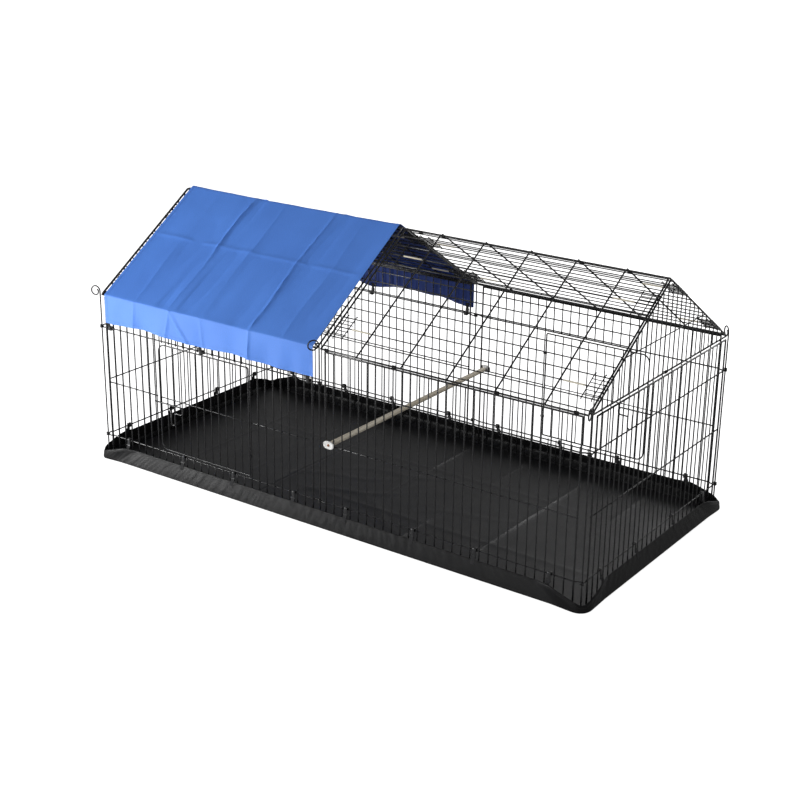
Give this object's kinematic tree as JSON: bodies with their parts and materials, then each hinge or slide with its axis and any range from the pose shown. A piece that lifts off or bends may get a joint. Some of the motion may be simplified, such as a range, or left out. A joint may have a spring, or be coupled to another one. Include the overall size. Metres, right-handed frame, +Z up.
{
  "type": "wire rabbit run",
  "caption": "Gable-roofed folding wire run with two bolted doors, lift-out corner stakes, a fabric cover over half the roof, a fabric floor tray and a perch across the middle.",
  "frame": {"origin": "centre of the footprint on the ground", "axes": "+X along the length towards the uncovered half, +Z up, -Y out of the long wall taken as the front"},
  "size_m": [2.2669, 1.1004, 1.0475],
  "materials": {
    "coated_wire": "black powder coat, satin",
    "cover_fabric": "woven blue polyester",
    "tray_fabric": "coated black polyester, dull sheen",
    "hook_plastic": "black moulded hook on a short strap",
    "perch_wood": "pale turned wood",
    "cap_plastic": "white moulded",
    "screw_steel": "brown plated"
  },
  "bodies": {
    "cage": {"cover_hook_back_1": "hook_plastic", "cover_hook_back_2": "hook_plastic", "cover_hook_back_3": "hook_plastic", "cover_hook_front_1": "hook_plastic", "cover_hook_front_2": "hook_plastic", "cover_hook_front_3": "hook_plastic", "floor_tray": "tray_fabric", "gable_left": "coated_wire", "gable_right": "coated_wire", "perch_cap_back": "cap_plastic", "perch_cap_front": "cap_plastic", "perch_rod": "perch_wood", "perch_screw_back": "screw_steel", "perch_screw_front": "screw_steel", "roof_back_left": "coated_wire", "roof_front_left": "coated_wire", "tray_hook_back_1": "hook_plastic", "tray_hook_back_2": "hook_plastic", "tray_hook_back_3": "hook_plastic", "tray_hook_back_4": "hook_plastic", "tray_hook_back_5": "hook_plastic", "tray_hook_back_6": "hook_plastic", "tray_hook_back_7": "hook_plastic", "tray_hook_back_8": "hook_plastic", "tray_hook_front_1": "hook_plastic", "tray_hook_front_2": "hook_plastic", "tray_hook_front_3": "hook_plastic", "tray_hook_front_4": "hook_plastic", "tray_hook_front_5": "hook_plastic", "tray_hook_front_6": "hook_plastic", "tray_hook_front_7": "hook_plastic", "tray_hook_front_8": "hook_plastic", "tray_hook_left_1": "hook_plastic", "tray_hook_left_2": "hook_plastic", "tray_hook_left_3": "hook_plastic", "tray_hook_left_4": "hook_plastic", "tray_hook_right_1": "hook_plastic", "tray_hook_right_2": "hook_plastic", "tray_hook_right_3": "hook_plastic", "tray_hook_right_4": "hook_plastic", "wall_back_left": "coated_wire", "wall_back_right": "coated_wire", "wall_end_left": "coated_wire", "wall_end_right": "coated_wire", "wall_front_left": "coated_wire", "wall_front_right": "coated_wire"},
    "door_front": {"door_front": "coated_wire"},
    "door_back": {"door_back": "coated_wire"},
    "bolt_front": {"door_bolt_front": "coated_wire"},
    "bolt_back": {"door_bolt_back": "coated_wire"},
    "roof_front_right": {"roof_front_right": "coated_wire"},
    "roof_back_right": {"roof_back_right": "coated_wire"},
    "cover": {"shade_cover": "cover_fabric"},
    "stake_back_left": {"stake_back_left": "coated_wire"},
    "stake_back_mid": {"stake_back_mid": "coated_wire"},
    "stake_back_right": {"stake_back_right": "coated_wire"},
    "stake_front_left": {"stake_front_left": "coated_wire"},
    "stake_front_mid": {"stake_front_mid": "coated_wire"},
    "stake_front_right": {"stake_front_right": "coated_wire"}
  },
  "joints": [
    {"name": "door_front_hinge", "type": "hinge", "parent": "cage", "child": "door_front", "pos_m": [-0.32714, -0.5183, 0.335], "axis": [0, 0, 1], "range_deg": [0, 110]},
    {"name": "door_back_hinge", "type": "hinge", "parent": "cage", "child": "door_back", "pos_m": [0.32714, 0.5183, 0.335], "axis": [0, 0, 1], "range_deg": [0, 110]},
    {"name": "door_bolt_front_slide", "type": "slide", "parent": "door_front", "child": "bolt_front", "axis": [1, 0, 0], "range_m": [0, 0.03]},
    {"name": "door_bolt_back_slide", "type": "slide", "parent": "door_back", "child": "bolt_back", "axis": [-1, 0, 0], "range_m": [0, 0.03]},
    {"name": "roof_front_right_hinge", "type": "hinge", "parent": "cage", "child": "roof_front_right", "pos_m": [0.5485, -0.515, 0.697], "axis": [1, 0, 0], "range_deg": [0, 95]},
    {"name": "roof_back_right_hinge", "type": "hinge", "parent": "cage", "child": "roof_back_right", "pos_m": [0.5485, 0.515, 0.697], "axis": [-1, 0, 0], "range_deg": [0, 50]},
    {"name": "cover_lift", "type": "slide", "parent": "cage", "child": "cover", "axis": [0, 0, 1], "range_m": [0, 0.25]},
    {"name": "stake_back_left_pull", "type": "slide", "parent": "cage", "child": "stake_back_left", "axis": [0, 0, 1], "range_m": [0, 0.3]},
    {"name": "stake_back_mid_pull", "type": "slide", "parent": "cage", "child": "stake_back_mid", "axis": [0, 0, 1], "range_m": [0, 0.3]},
    {"name": "stake_back_right_pull", "type": "slide", "parent": "cage", "child": "stake_back_right", "axis": [0, 0, 1], "range_m": [0, 0.3]},
    {"name": "stake_front_left_pull", "type": "slide", "parent": "cage", "child": "stake_front_left", "axis": [0, 0, 1], "range_m": [0, 0.3]},
    {"name": "stake_front_mid_pull", "type": "slide", "parent": "cage", "child": "stake_front_mid", "axis": [0, 0, 1], "range_m": [0, 0.3]},
    {"name": "stake_front_right_pull", "type": "slide", "parent": "cage", "child": "stake_front_right", "axis": [0, 0, 1], "range_m": [0, 0.3]}
  ]
}
